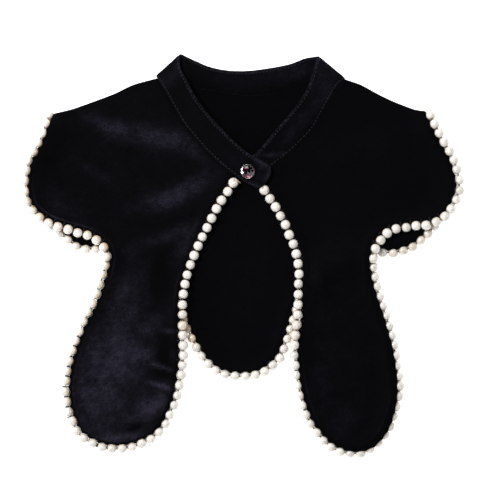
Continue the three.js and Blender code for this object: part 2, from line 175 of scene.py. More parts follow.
def nearestPlace(line, points, closed):  # distance to a line, and the place on it as row plus fraction
    a = line[:, :2] if closed else line[:-1, :2]
    b = np.roll(line[:, :2], -1, axis=0) if closed else line[1:, :2]
    side = b - a
    square = np.maximum((side**2).sum(axis=1), tiny)
    distance, place = [], []
    for some in inChunks(points):
        gap = some[:, None] - a
        t = np.clip((gap * side).sum(axis=2) / square, 0, 1)
        far = ((gap - t[:, :, None] * side) ** 2).sum(axis=2)
        best = far.argmin(axis=1)
        rows = np.arange(len(some))
        distance.append(np.sqrt(far[rows, best]))
        place.append(best + t[rows, best])
    return np.concatenate(distance), np.concatenate(place)


def valueAt(values, place):  # between two rows of a closed line
    first = np.floor(place).astype(int)
    share = place - first
    return values[first % len(values)] * (1 - share) + values[(first + 1) % len(values)] * share


def isInside(outline, points):
    a, b = outline[:, :2], np.roll(outline[:, :2], -1, axis=0)
    slope = (b[:, 0] - a[:, 0]) / np.where(b[:, 1] == a[:, 1], tiny, b[:, 1] - a[:, 1])
    found = []
    for some in inChunks(points):
        x, y = some[:, :1], some[:, 1:2]
        crosses = ((a[:, 1] > y) != (b[:, 1] > y)) & (x < slope * (y - a[:, 1]) + a[:, 0])
        found.append(crosses.sum(axis=1) % 2 == 1)
    return np.concatenate(found)


def leftOf(line, closed):  # unit vectors to the left of a line's way, longer at its corners
    before = unit(line[:, :2] - np.roll(line[:, :2], 1, axis=0))
    after = unit(np.roll(line[:, :2], -1, axis=0) - line[:, :2])
    if not closed:
        before[0], after[-1] = after[0], before[-1]
    along = unit(before + after)
    reach = 1 / np.maximum(sharpest, (along * before).sum(axis=1, keepdims=True))
    return np.stack([-along[:, 1], along[:, 0]], axis=1) * reach


def movedLeft(line, distance, closed):
    moved = line.copy()
    moved[:, :2] += leftOf(line, closed) * distance
    return moved


def pearlLine(rows):  # x, y and cover at every millimetre
    line = curveThrough([row[:2] for row in rows])
    cover = np.interp(np.arange(len(line)) / perSpan, np.arange(len(rows)), [row[2] for row in rows])
    return evenly(np.column_stack([line, cover]), 1, 2)


# Heights of the layers
radius = pearlSize["radius"]
backLine = pearlLine(backPearls)
backEdge = movedLeft(backLine, cloth["toPearls"], False)
backSeam = evenly(curveThrough([row[:2] for row in bandBack]), 1, 2)[::-1]
leftFoldLine, rightFoldLine = (evenly(curveThrough(rows), 1, 2) for rows in (leftShoulder, rightShoulder))
backShape = np.vstack([
    [capeCorners["left"]], backEdge[:, :2], [capeCorners["right"]],
    rightFoldLine[::-1], backSeam, leftFoldLine,
])


def ridgeAt(distance):  # how high the fronts arch over the back's pearls
    return drape["ridge"] * bell(distance, 0, drape["overPearls"])


def underFront(points):
    distance, _ = nearestPlace(backLine, points, False)
    onBack = smoothstep(distance, 0, drape["overEdge"]) * isInside(backShape, points)
    return cloth["thickness"] * onBack + ridgeAt(distance)


def frontRest(points):
    return underFront(points) + cloth["layerGap"] + cloth["thickness"] / 2


def pearlCentres(points):
    return underFront(points) + cloth["layerGap"] + radius


# Materials: an Amount is a node's output that sums like a number
class Amount:
    def __init__(self, finish, socket):
        self.finish = finish
        self.socket = socket

    def __add__(self, other):
        return self.finish.maths("ADD", self, other)

    __radd__ = __add__

    def __sub__(self, other):
        return self.finish.maths("SUBTRACT", self, other)

    def __rsub__(self, other):
        return self.finish.maths("SUBTRACT", other, self)

    def __mul__(self, other):
        return self.finish.maths("MULTIPLY", self, other)

    __rmul__ = __mul__


class Finish:
    def __init__(self, name):
        self.material = bpy.data.materials.new(name)
        self.material.use_nodes = True
        self.tree = self.material.node_tree
        self.tree.nodes.clear()

    def node(self, kind, settings=None, sockets=None, take=0):
        made = self.tree.nodes.new(kind)
        for name, value in (settings or {}).items():
            setattr(made, name, value)
        for name, value in (sockets or {}).items():
            if isinstance(value, Amount):
                self.tree.links.new(value.socket, made.inputs[name])
            else:
                made.inputs[name].default_value = value
        return Amount(self, made.outputs[take])

    def maths(self, operation, a, b, clamp=False):
        return self.node("ShaderNodeMath", {"operation": operation, "use_clamp": clamp}, {0: a, 1: b})

    def clamped(self, amount):
        return self.maths("ADD", amount, 0, clamp=True)

    def blend(self, factor, a, b):  # of two colours
        return self.node("ShaderNodeMix", {"data_type": "RGBA"}, {0: factor, 6: a, 7: b}, take=2)

    def place(self, drawnOut=1, degrees=0):  # object coordinates, drawn out along a turned direction
        where = self.node("ShaderNodeTexCoord", take=3)
        return self.node("ShaderNodeMapping", {"vector_type": "TEXTURE"}, {
            "Vector": where, "Scale": (drawnOut, 1, 1), "Rotation": (0, 0, math.radians(degrees)),
        })

    def cloud(self, place, size, detail=2, rough=0.5):  # soft noise, size in metres
        return self.node("ShaderNodeTexNoise", {}, {
            "Vector": place, "Scale": 1 / size, "Detail": detail, "Roughness": rough,
        })

    def carried(self, name, take=2):
        return self.node("ShaderNodeAttribute", {"attribute_name": name}, take=take)

    def relief(self, height, depth, strength):
        return self.node("ShaderNodeBump", {}, {"Height": height, "Distance": depth, "Strength": strength})

    def finished(self, even, **varied):  # socket values that are the same all over, and those that vary
        sockets = {**even, **{name.replace("_", " "): value for name, value in varied.items()}}
        shader = self.node("ShaderNodeBsdfPrincipled", {}, sockets)
        output = self.tree.nodes.new("ShaderNodeOutputMaterial")
        self.tree.links.new(shader.socket, output.inputs["Surface"])
        return self.material


def ranged(amount, look):
    return look["gain"] * amount + look["shift"]


velvetLook = {  # sizes and depths in metres
    # brushed is the pile's colour where the painted sheen is full, deep where there is none
    "deep": (0.0014, 0.00135, 0.0017, 1), "brushedSheen": (0.0188, 0.0168, 0.0272, 1),
    "even": {
        "Roughness": 0.95, "Specular IOR Level": 0.02,
        "Sheen Weight": 0.12, "Sheen Roughness": 0.4, "Sheen Tint": (0.30, 0.28, 0.36, 1),
    },
    "strokes": {"size": 0.0021, "drawnOut": 1.8, "cape": -14, "lobe": 52, "gain": 1.5, "shift": 0.25},
    "patches": {"size": 0.0046, "drawnOut": 1.5, "turn": 20, "gain": 1.6, "shift": 0.2},
    "clouds": {"size": 0.013, "gain": 2.6, "shift": -0.3},
    "grain": {"size": 0.0009, "gain": 2.8, "shift": -0.4},
    "pile": {"strokes": 0.8, "depth": 0.00025, "strength": 0.6},
}


def velvetFinish():
    f = Finish("black velvet")
    napSheen, lobe = f.carried("napSheen"), f.carried("lobe")
    strokes, patches, pile = velvetLook["strokes"], velvetLook["patches"], velvetLook["pile"]
    onCape, onLobe = (
        f.cloud(f.place(strokes["drawnOut"], strokes[part]), strokes["size"], 2, 0.6) for part in ("cape", "lobe")
    )
    stroke = onCape + lobe * (onLobe - onCape)
    patch = f.cloud(f.place(patches["drawnOut"], patches["turn"]), patches["size"])
    soft = f.cloud(f.place(), velvetLook["clouds"]["size"], 3, 0.6)
    grain = f.cloud(f.place(), velvetLook["grain"]["size"], 1)
    broad = ranged(soft, velvetLook["clouds"]) * ranged(patch, patches)
    fine = ranged(stroke, strokes) * ranged(grain, velvetLook["grain"])
    return f.finished(
        velvetLook["even"],
        # painted sheen: the base colour runs from deep to brushed by the carried nap amount, mottled by the pile's own
        # streaks and grain
        Base_Color=f.blend(f.clamped(napSheen * broad * fine), velvetLook["deep"], velvetLook["brushedSheen"]),
        Normal=f.relief(grain + pile["strokes"] * stroke, pile["depth"], pile["strength"]),
    )


pearlLook = {
    "cream": (0.88, 0.84, 0.79, 1), "grey": (0.62, 0.60, 0.57, 1), "tan": (0.58, 0.41, 0.235, 1),
    "mottleSize": 0.0021, "speckleSize": 0.0012,
    # tan wear at the drilled holes, painted shade on the cloth side and lower half, and random mottling
    "wearAndShade": {"holes": 0.8, "inner": 0.35, "mottle": 0.8, "shift": -0.37},
    "greying": {"tone": 0.5, "speckle": 3.2, "shift": -1.45},
    "roughness": {"gain": 0.25, "shift": 0.24},
    "even": {
        "Coat Weight": 1.0, "Coat Roughness": 0.14, "Specular IOR Level": 0.45,
        "Subsurface Weight": 0.25, "Subsurface Radius": (1.0, 0.9, 0.78), "Subsurface Scale": 0.002,
    },
    "relief": {"speckle": 0.4, "depth": 0.0003, "strength": 0.7},
    "least": 1.03, "most": 1.13, "mostBack": 1.1, "firstIs": 1.15, "oval": (0.99, 1.07),
    "unevenPitch": 0.3, "outOfLine": 0.4, "nod": 14, "endNod": 52,
    "leftStart": (-168.9, 127.8, 0), "backEnd": (161.6, 130.4, 0),
    # painted shade: pearls tan towards the cloth and on their lower half, more so on the warm outer strings
    "paintedShadeSide": {"all": 0.34, "warmAll": -0.06, "side": 0.4, "warmSide": 0.8, "above": -0.75},
    # painted shadow over whole pearls lying under the fronts' edges
    "shaded": [
        (-46, -66, -60, 15, 5, 0.9), (45, -64, 60, 14, 6, 0.3),
        (147, 6, 30, 26, 7, 0.45), (132, -150, 60, 34, 14, 0.3),
    ],
    # painted warm shade on the cloth side of the outer strings
    "warmShade": [
        (-152, -100, 84, 60, 16, 1.0), (-125, -22, 90, 40, 14, 1.1), (-182, 66, 88, 60, 16, 1.1),
        (-140, 12, -20, 40, 14, 0.5), (-110, -168, 0, 40, 12, 0.5),
    ],
}


def pearlFinish():
    f = Finish("ivory pearl lacquer")
    wearAndShade, greying, relief = pearlLook["wearAndShade"], pearlLook["greying"], pearlLook["relief"]
    tones = f.node("ShaderNodeSeparateColor", {}, {"Color": f.carried("pearlTone", 0)})
    greys, holes, inner = (Amount(f, tones.socket.node.outputs[k]) for k in range(3))
    mottle = f.cloud(f.place(), pearlLook["mottleSize"], 3, 0.6)
    speckle = f.cloud(f.place(), pearlLook["speckleSize"], 2, 0.6)
    # tan at the worn holes, and painted shade on the cloth side and lower half
    wornAndShaded = holes * wearAndShade["holes"] + inner * (wearAndShade["inner"] + wearAndShade["mottle"] * mottle) + wearAndShade["mottle"] * mottle
    greyed = f.clamped(greying["tone"] * greys + greying["speckle"] * speckle + greying["shift"])
    cream = f.blend(greyed, pearlLook["cream"], pearlLook["grey"])
    return f.finished(
        pearlLook["even"],
        Base_Color=f.blend(f.clamped(wornAndShaded + wearAndShade["shift"]), cream, pearlLook["tan"]),
        Roughness=f.clamped(ranged(mottle, pearlLook["roughness"])),
        Normal=f.relief(mottle + relief["speckle"] * speckle, relief["depth"], relief["strength"]),
    )


threadLook = {
    "twists": 700.0, "uneven": 1.5, "depth": 0.0001, "strength": 0.4,
    "even": {"Roughness": 0.7, "Specular IOR Level": 0.25},
    "black": ((0.006, 0.006, 0.008, 1), (0.022, 0.021, 0.026, 1)),
    "lustrous": ((0.007, 0.007, 0.009, 1), (0.023, 0.022, 0.028, 1)),
    "tan": ((0.30, 0.19, 0.10, 1), (0.62, 0.47, 0.30, 1)),
}


def threadFinish(name, tones):  # dark and light tone of the twist
    f = Finish(name)
    twist = f.node("ShaderNodeTexWave", {"bands_direction": "DIAGONAL"}, {
        "Vector": f.place(), "Scale": threadLook["twists"], "Distortion": threadLook["uneven"],
    }, take=1)
    bumps = f.relief(twist, threadLook["depth"], threadLook["strength"])
    return f.finished(threadLook["even"], Base_Color=f.blend(twist, *tones), Normal=bumps)


silverLook = {
    "bright": (0.44, 0.42, 0.44, 1), "dull": (0.04, 0.03, 0.04, 1), "wearSize": 0.0016,
    "roughness": {"gain": 0.35, "shift": 0.1}, "depth": 0.0001, "strength": 0.3,
}


def silverFinish():
    f = Finish("bright silver plate")
    wearAndShade = f.cloud(f.place(), silverLook["wearSize"], 4, 0.7)
    return f.finished(
        {"Metallic": 1.0},
        Base_Color=f.blend(wearAndShade, silverLook["bright"], silverLook["dull"]),
        Roughness=f.clamped(ranged(wearAndShade, silverLook["roughness"])),
        Normal=f.relief(wearAndShade, silverLook["depth"], silverLook["strength"]),
    )


foilLook = {
    "glintSize": 0.0012, "low": (0.75, 0.75, 0.75, 1), "high": (1, 1, 1, 1),
    "even": {"Metallic": 1.0, "Roughness": 0.14, "Specular IOR Level": 0.3},
}


def stoneFinish():
    f = Finish("foiled cut stone")
    # painted glints: brighter specks over the facet colours
    glint = f.blend(f.cloud(f.place(), foilLook["glintSize"]), foilLook["low"], foilLook["high"])
    colour = f.node("ShaderNodeMix", {"data_type": "RGBA", "blend_type": "MULTIPLY"}, {
        0: 1.0, 6: f.carried("facet", 0), 7: glint,
    }, take=2)
    return f.finished(foilLook["even"], Base_Color=colour)


velvet = velvetFinish()
pearlLacquer = pearlFinish()
blackThread = threadFinish("black sewing thread", threadLook["black"])
stitchThread = threadFinish("lustrous topstitching thread", threadLook["lustrous"])
tanThread = threadFinish("tan stringing thread", threadLook["tan"])
silverPlate = silverFinish()
cutStone = stoneFinish()
print("finishes made")


def pieceFrom(name, points, faces, material):  # points in millimetres
    mesh = bpy.data.meshes.new(name)
    mesh.from_pydata((np.asarray(points) * mm).tolist(), [], faces)
    mesh.update()
    mesh.polygons.foreach_set("use_smooth", [True] * len(mesh.polygons))
    mesh.materials.append(material)
    made = bpy.data.objects.new(name, mesh)
    bpy.context.collection.objects.link(made)
    return made


def carry(piece, name, values):  # one number or one colour for each point
    values = np.asarray(values, float)
    if values.ndim == 1:
        piece.data.attributes.new(name, "FLOAT", "POINT").data.foreach_set("value", values)
    else:
        colours = np.column_stack([values, np.ones(len(values))]).ravel()
        piece.data.attributes.new(name, "FLOAT_COLOR", "POINT").data.foreach_set("color", colours)


def toObjectMode():
    bpy.ops.object.mode_set(mode="OBJECT")


def toEditMode(select=None):
    bpy.ops.object.mode_set(mode="EDIT")
    if select:
        bpy.ops.mesh.select_all(action=select)


def editFaces(piece, wanted):  # edit mode with only the wanted faces selected
    toEditMode("DESELECT")
    toObjectMode()
    for polygon in piece.data.polygons:
        polygon.select = wanted(polygon)
    toEditMode()


def blots(points, rows):  # soft long spots: x, y, degrees, half length, half width, strength
    total = np.zeros(len(points))
    for x, y, degrees, length, width, strength in rows:
        turn = math.radians(degrees)
        dx, dy = points[:, 0] - x, points[:, 1] - y
        u = dx * math.cos(turn) + dy * math.sin(turn)
        v = dy * math.cos(turn) - dx * math.sin(turn)
        total += strength * np.exp(-((u / length) ** 2) - (v / width) ** 2)
    return total


def noiseAt(*spot):
    return noise.noise(Vector(spot))


def softNoise(points, size, seed):
    return np.array([noiseAt(x / size, y / size, seed) for x, y in points[:, :2]])


# Strings of pearls: one bead modelled with its drilled ends, then copied along its line
beadLook = {"cuts": 2, "holeInset": 0.24, "holeDepth": 0.2}


def beadModel():
    bpy.ops.object.select_all(action="DESELECT")
    bpy.ops.mesh.primitive_cube_add(size=2)
    bead = bpy.context.object
    toEditMode("SELECT")
    bpy.ops.mesh.subdivide(number_cuts=beadLook["cuts"])
    bpy.ops.transform.tosphere(value=1)
    bpy.ops.mesh.select_mode(type="FACE")
    editFaces(bead, lambda face: abs(face.normal.x) > 0.99)
    bpy.ops.mesh.inset(thickness=beadLook["holeInset"], depth=-beadLook["holeDepth"])
    toObjectMode()
    points = np.array([tuple(v.co) for v in bead.data.vertices])
    faces = [tuple(p.vertices) for p in bead.data.polygons]
    bpy.data.objects.remove(bead)
    away = np.linalg.norm(points, axis=1)
    return points / away.max(), faces, (away < 0.97 * away.max()) * 1.0  # the last tells the hole's points


beadPoints, beadFaces, beadHole = beadModel()


def stringLine(rows, heights):
    return curveThrough([(*row[:2], z) for row, z in zip(rows, heights)])


def pearlString(name, line, seed, largest, firstEnd=None):
    random.seed(seed)
    total = distancesAlong(line)[-1]
    count = round(total / pearlSize["pitch"])
    pitch = total / count
    shake = np.array([random.uniform(-1, 1) for _ in range(count)]) * pearlLook["unevenPitch"]
    middles = atDistances(line, (np.arange(count) + 0.5) * pitch + shake)
    aside = np.array([random.uniform(-1, 1) for _ in range(count)]) * pearlLook["outOfLine"]
    before = atDistances(line, (np.arange(count) + 0.4) * pitch)
    after = atDistances(line, (np.arange(count) + 0.6) * pitch)
    across = unit(np.cross([0, 0, 1], after - before))
    middles = middles + across * aside[:, None] * (np.arange(count) % (count - 1) > 0)[:, None]
    # painted shadow spots and painted warm shade, looked up at each pearl
    shade, warmShade = blots(middles, pearlLook["shaded"]), blots(middles, pearlLook["warmShade"])
    wornAndShaded = pearlLook["paintedShadeSide"]
    points, faces, tones, sizes = [], [], [], []
    for i in range(count):
        forward = unit(after[i] - before[i])
        side = unit(np.cross([0, 0, 1], forward))
        up = np.cross(forward, side)
        turn = random.uniform(0, math.tau)
        size = radius * random.uniform(pearlLook["least"], largest)
        oval = random.uniform(*pearlLook["oval"])
        nod = math.radians(random.uniform(-pearlLook["nod"], pearlLook["nod"]))
        if i == firstEnd or i - count == firstEnd:  # the end pearl is a larger one, its drilled hole tipped up
            size = radius * pearlLook["firstIs"]
            nod = math.radians(-pearlLook["endNod"] if i == 0 else pearlLook["endNod"])
        forward, up = forward * math.cos(nod) + up * math.sin(nod), up * math.cos(nod) - forward * math.sin(nod)
        y = side * math.cos(turn) + up * math.sin(turn)
        z = up * math.cos(turn) - side * math.sin(turn)
        local = beadPoints * [size * oval, size, size]
        placed = middles[i] + local[:, :1] * forward + local[:, 1:2] * y + local[:, 2:] * z
        faces += [tuple(k + i * len(beadPoints) for k in face) for face in beadFaces]
        points.append(placed)
        sizes.append(size)
        towards = unit(placed - middles[i])
        # painted shade: tan towards the cloth side and the lower half of each pearl, and over whole pearls in the
        # shadow spots
        inner = wornAndShaded["all"] + wornAndShaded["warmAll"] * warmShade[i]
        inner = inner + (wornAndShaded["side"] + wornAndShaded["warmSide"] * warmShade[i]) * (towards @ side)
        inner = np.clip(inner + wornAndShaded["above"] * max(0, 1 - warmShade[i]) * towards[:, 2], 0, 1) + shade[i]
        tones.append(np.column_stack([np.full(len(placed), random.random()), beadHole, inner]))
    piece = pieceFrom(name, np.vstack(points), faces, pearlLacquer)
    carry(piece, "pearlTone", np.vstack(tones))
    return piece, np.column_stack([middles, sizes])


def heightsOf(rows):
    return pearlCentres(np.array([row[:2] for row in rows], float))


leftRows = [pearlLook["leftStart"], *leftFrontPearls[1:]]
leftString = stringLine(leftRows, heightsOf(leftRows))
rightString = stringLine(rightFrontPearls, heightsOf(rightFrontPearls))
backRows = [*backPearls, pearlLook["backEnd"]]
backString = stringLine(backRows, [radius * pearlLook["mostBack"]] * len(backRows))
frontMost, backMost = pearlLook["most"], pearlLook["mostBack"]
pearlsLeft, leftPlaces = pearlString("pearlsLeftFront", leftString, seed=5, largest=frontMost, firstEnd=-1)
pearlsRight, rightPlaces = pearlString("pearlsRightFront", rightString, seed=6, largest=frontMost, firstEnd=0)
pearlsBack, backPlaces = pearlString("pearlsBack", backString, seed=7, largest=backMost)
print("pearls strung")


# Velvet panels. An outline is a list of stretches: rows of x, y, ring height, base height, cover and kind
edgeLook = {
    "step": 1.05, "plainStep": 2.1, "grid": 2.7, "rings": (0.8, 1.5, 2.2, 2.9, 3.7, 4.8, 6.3, 8.3, 10.8),
    "sparseFrom": 2.5, "between": 2.8, "clear": 0.05, "pull": 0.27, "pullWidth": 2.5, "lipRadius": 4.5,
    "puff": 0.3, "puffAt": 2.8, "puffWidth": 1.6, "topRound": 3.0, "shoulderRound": 4.2, "underRound": 2.2,
    "onPearls": (0.2, 1.2), "broad": (1.2, 2.5),  # covers where the roll climbs the pearls, and where its points fade
    "points": 3.0, "sharp": 1.4, "pointRest": 0.35, "dip": 0.25, "liftOver": (0.8, 15),
    "roll": [(0.25, 0.18), (0.36, 0.42), (0.3, 0.66), (0.05, 0.84), (-0.32, 0.94)],  # out, and share of the rise
    "waves": {"long": 38, "short": 11, "shortShare": 0.35, "underShare": 0.6},
    # where the painted highlight runs along the crest, how far the painted shade beside the pearls reaches, and the
    # most painted sheen
    "crestAt": 2.0, "crestWidth": 0.7, "shadeBesidePearls": 0.4, "shadeBesidePearlsTo": 5.5, "mostSheen": 1.6, "lobeBelow": (-25, 15),
}
isEdge, isNeck, isShoulder = 0, 1, 2


def stretch(line, ringZ, baseZ, cover, kind):
    count = len(line)
    columns = [line[:, 0], line[:, 1]] + [np.broadcast_to(v, count) for v in (ringZ, baseZ, cover, kind)]
    return evenly(np.column_stack(columns), edgeLook["step" if kind == isEdge else "plainStep"], 2)


def joinStretches(stretches):
    outline = np.vstack(stretches)
    gap = np.linalg.norm(outline[:, :2] - np.roll(outline[:, :2], 1, axis=0), axis=1)
    outline = outline[gap > 0.7]
    for column in (2, 3):  # ease the steps in height where the stretches meet
        for _ in range(3):
            eased = (np.roll(outline[:, column], 1) + np.roll(outline[:, column], -1)) / 2
            outline[:, column] = np.where(outline[:, 5] == isNeck, outline[:, column], eased)
    return outline


def betweenPearls(outline, outward, pearls):  # how far the edge can reach out before it touches a pearl
    reach = np.zeros(len(outline))
    free = np.ones(len(outline), bool)
    for step in np.arange(0.1, edgeLook["between"], 0.1):
        moved = outline[:, :2] + outward * step
        gap = np.linalg.norm(moved[:, None] - pearls[None, :, :2], axis=2) - pearls[None, :, 3]
        free &= gap.min(axis=1) > edgeLook["clear"]
        reach = np.where(free, step, reach)
    return (np.roll(reach, 1) + 2 * reach + np.roll(reach, -1)) / 4


def flatCut(outline):  # points and triangles: rings along the edge, and a grid inside them
    rings, step = edgeLook["rings"], edgeLook["grid"]
    found = [movedLeft(outline, rings[0], True)[:, :2]]
    for depth in rings[1:]:
        ring = movedLeft(outline, depth, True)[::2 if depth > edgeLook["sparseFrom"] else 1, :2]
        distance, _ = nearestPlace(outline, ring, True)
        found.append(ring[isInside(outline, ring) & (distance > 0.94 * depth)])
    low, high = outline[:, :2].min(axis=0), outline[:, :2].max(axis=0)
    rows = []
    for k, y in enumerate(np.arange(low[1], high[1], step * 0.866)):
        xs = np.arange(low[0] + (k % 2) * step / 2, high[0], step)
        rows.append(np.column_stack([xs, np.full(len(xs), y)]))
    grid = np.vstack(rows)
    grid = grid[isInside(outline, grid)]
    distance, _ = nearestPlace(outline, grid, True)
    found.append(grid[distance > rings[-1] + step * 0.6])
    rim = [(i, (i + 1) % len(outline)) for i in range(len(outline))]
    made = delaunay_2d_cdt([Vector(p) for p in np.vstack(found)], rim, [], 1, 1e-7)
    return np.array([tuple(p) for p in made[0]]), np.array(made[2])


def faceHeights(outline, spots, pull, restHeight, look):  # depth from the edge, top and underside
    depth, place = nearestPlace(outline, spots, True)
    ringZ, baseZ, cover, pulled = (valueAt(v, place) for v in (*outline[:, 2:5].T, pull))
    shoulder = valueAt((outline[:, 5] == isShoulder) * 1.0, place)
    base = baseZ + (restHeight(spots) - baseZ) * smoothstep(depth, 0, cloth["edgeRise"])
    half, waves = cloth["thickness"] / 2, edgeLook["waves"]
    puff = edgeLook["puff"] * (1 - 0.8 * shoulder) * bell(depth, edgeLook["puffAt"], edgeLook["puffWidth"])
    topRound = np.where(shoulder > 0.5, edgeLook["shoulderRound"], edgeLook["topRound"])
    top = ringZ + (base + half + puff - ringZ) * rounded(depth, topRound)
    under = ringZ + (base - half - ringZ) * rounded(depth, edgeLook["underRound"])
    lift, (liftFrom, liftTo) = lipLift(cover), edgeLook["liftOver"]
    top += lift * (1 - smoothstep(depth, liftFrom, liftTo))
    under += 0.75 * lift * smoothstep(depth, 1, 4) * (1 - smoothstep(depth, 4, liftTo))
    top -= edgeLook["pull"] * pulled * bell(depth, 0, edgeLook["pullWidth"])
    long = look["wave"] * (0.5 + softNoise(spots, waves["long"], look["seed"])) * smoothstep(depth, 1.5, 12)
    short = look["wave"] * waves["shortShare"] * softNoise(spots, waves["short"], look["seed"] + 3)
    top += np.maximum(long, 0) + short * smoothstep(depth, 0.8, 5) + blots(spots, look["folds"])
    under += np.maximum(long, 0) * waves["underShare"]
    return depth, top, under


def rolledEdge(outline, outward, scallop, pull, firstTop):  # rings from the seam up to the first inner one
    ringZ, cover = outline[:, 2], outline[:, 4]
    onPearls = smoothstep(cover, *edgeLook["onPearls"])
    points = edgeLook["points"] * (pull ** edgeLook["sharp"] - edgeLook["pointRest"]) * onPearls
    points = points * (1 - 0.6 * smoothstep(cover, *edgeLook["broad"]))
    scallop = scallop * (1 - onPearls)
    angle, dip = lipAngle(cover), edgeLook["dip"]

    def onLip(share, out=0, up=0):
        along, across = edgeLook["lipRadius"] * np.cos(angle * share), edgeLook["lipRadius"] * np.sin(angle * share)
        return cloth["toPearls"] - along + out, across + up

    reach, rise = onLip(1)
    over = [onLip(0.3), onLip(0.75), onLip(1, 0.45, 0.5), onLip(1, 0.3, 1.05), (reach * 0.45 - 0.5, rise + 1.42)]
    rings = [np.column_stack([outline[:, :2] + outward * scallop[:, None], ringZ - dip * scallop])]
    for (plainOut, plainUp), (overOut, overUp) in zip(edgeLook["roll"], over):
        out = plainOut * (1 - onPearls) + overOut * onPearls + points + scallop * (1 - 0.45 * plainUp)
        z = ringZ - dip * scallop * (1 - plainUp)
        z = z + plainUp * (firstTop - ringZ) * (1 - onPearls) + overUp * onPearls
        rings.append(np.column_stack([outline[:, :2] + outward * out[:, None], z]))
    return rings, scallop


def clothPanel(name, outline, pearls, restHeight, look):
    count = len(outline)
    outward = -leftOf(outline, True)
    scallop = np.where(outline[:, 5] == isEdge, betweenPearls(outline, outward, pearls), 0)  # held out by stitches
    pull = np.clip(scallop / edgeLook["between"], 0, 1)
    spots, triangles = flatCut(outline)
    depth, top, under = faceHeights(outline, spots, pull, restHeight, look)
    rings, scallop = rolledEdge(outline, outward, scallop, pull, top[:count])
    lowerOut = outward * (0.05 + 0.8 * scallop[:, None])
    ringZ = outline[:, 2]
    lower = np.column_stack([outline[:, :2] + lowerOut, ringZ - 0.45 * (ringZ - under[:count])])
    allPoints = np.vstack([*rings, np.column_stack([spots, top]), lower, np.column_stack([spots, under])])
    faces = []
    topStart = count * len(rings)
    lowerStart = topStart + len(spots)
    underStart = lowerStart + count

    def addStrip(a, b, upwards):
        for i in range(count):
            j = (i + 1) % count
            quad = (a + i, a + j, b + j, b + i)
            faces.append(quad if upwards else quad[::-1])

    for k in range(len(rings)):
        addStrip(k * count, (k + 1) * count, True)
    addStrip(0, lowerStart, False)
    addStrip(lowerStart, underStart, False)
    faces += (triangles + topStart).tolist()
    faces += (triangles[:, ::-1] + underStart).tolist()
    panel = pieceFrom(name, allPoints, faces, velvet)

    # painted highlight along the crest of the rolled edge, and painted sheen patches over the top
    crestHighlight = bell(depth, edgeLook["crestAt"], edgeLook["crestWidth"]) * blots(spots, look["crestHighlight"])
    least = edgeLook["shadeBesidePearls"]
    shadeBesidePearls = least + (1 - least) * smoothstep(depth, 1, edgeLook["shadeBesidePearlsTo"])  # painted shade: the sheen is dimmed beside the pearls
    napSheenTop = np.clip((look["napSheen"] + blots(spots, look["sheen"])) * shadeBesidePearls + crestHighlight, 0, edgeLook["mostSheen"])
    # painted shade: the rolled edge's rings get a fifth of the panel's sheen, the lower ring almost none
    edgeSheen = np.full(topStart, look["napSheen"] * 0.2)
    carry(panel, "napSheen", np.concatenate([edgeSheen, napSheenTop, np.full(count, 0.02), np.full(len(spots), look["napSheen"])]))
    carry(panel, "lobe", smoothstep(-allPoints[:, 1], *edgeLook["lobeBelow"]))
    return panel


def lipAngle(cover):  # how far round the pearl the rolled edge reaches
    return np.arccos(np.clip((cloth["toPearls"] - cover) / edgeLook["lipRadius"], 0.03, 1))


def lipLift(cover):
    return smoothstep(cover, *edgeLook["onPearls"]) * (edgeLook["lipRadius"] * np.sin(lipAngle(cover)) + 0.1)


def seamOf(rows):
    return evenly(curveThrough([row[:3] for row in rows]), 1)


def frontStretches(pearls, foldLine, seam, pearlsFirst):
    edge = movedLeft(pearls, cloth["toPearls"], False)
    edgeZ = pearlCentres(edge) - 0.2
    ridge = ridgeAt(nearestPlace(backLine, foldLine, False)[0])
    foldZ = 1.5 * cloth["thickness"] + cloth["layerGap"] + ridge
    alongEdge = stretch(edge, edgeZ, edgeZ, edge[:, 2], isEdge)
    alongFold = stretch(foldLine, 2.75 + ridge, foldZ, 0, isShoulder)
    alongSeam = stretch(seam, seam[:, 2], seam[:, 2], 0, isNeck)
    if pearlsFirst:
        return joinStretches([alongEdge, alongFold[::-1], alongSeam])
    return joinStretches([alongEdge, alongSeam, alongFold])


leftLine, rightLine = pearlLine(leftFrontPearls), pearlLine(rightFrontPearls)
leftOutline = frontStretches(leftLine, leftFoldLine, seamOf(bandLeftFront), False)
rightOutline = frontStretches(rightLine, rightFoldLine, seamOf(bandRightFront), True)
backRest = cloth["thickness"] / 2
cornerRows = {side: np.array([[*spot, 1.8, 1.8, 0, isShoulder]]) for side, spot in capeCorners.items()}
backOutline = joinStretches([
    cornerRows["left"],
    stretch(backEdge, radius - 0.3, radius - 0.3, backEdge[:, 2], isEdge),
    cornerRows["right"],
    stretch(rightFoldLine[::-1], 2.3, backRest, 0, isShoulder),
    stretch(backSeam, backRest + 0.3, backRest + 0.3, 0, isNeck),
    stretch(leftFoldLine, 2.3, backRest, 0, isShoulder),
])
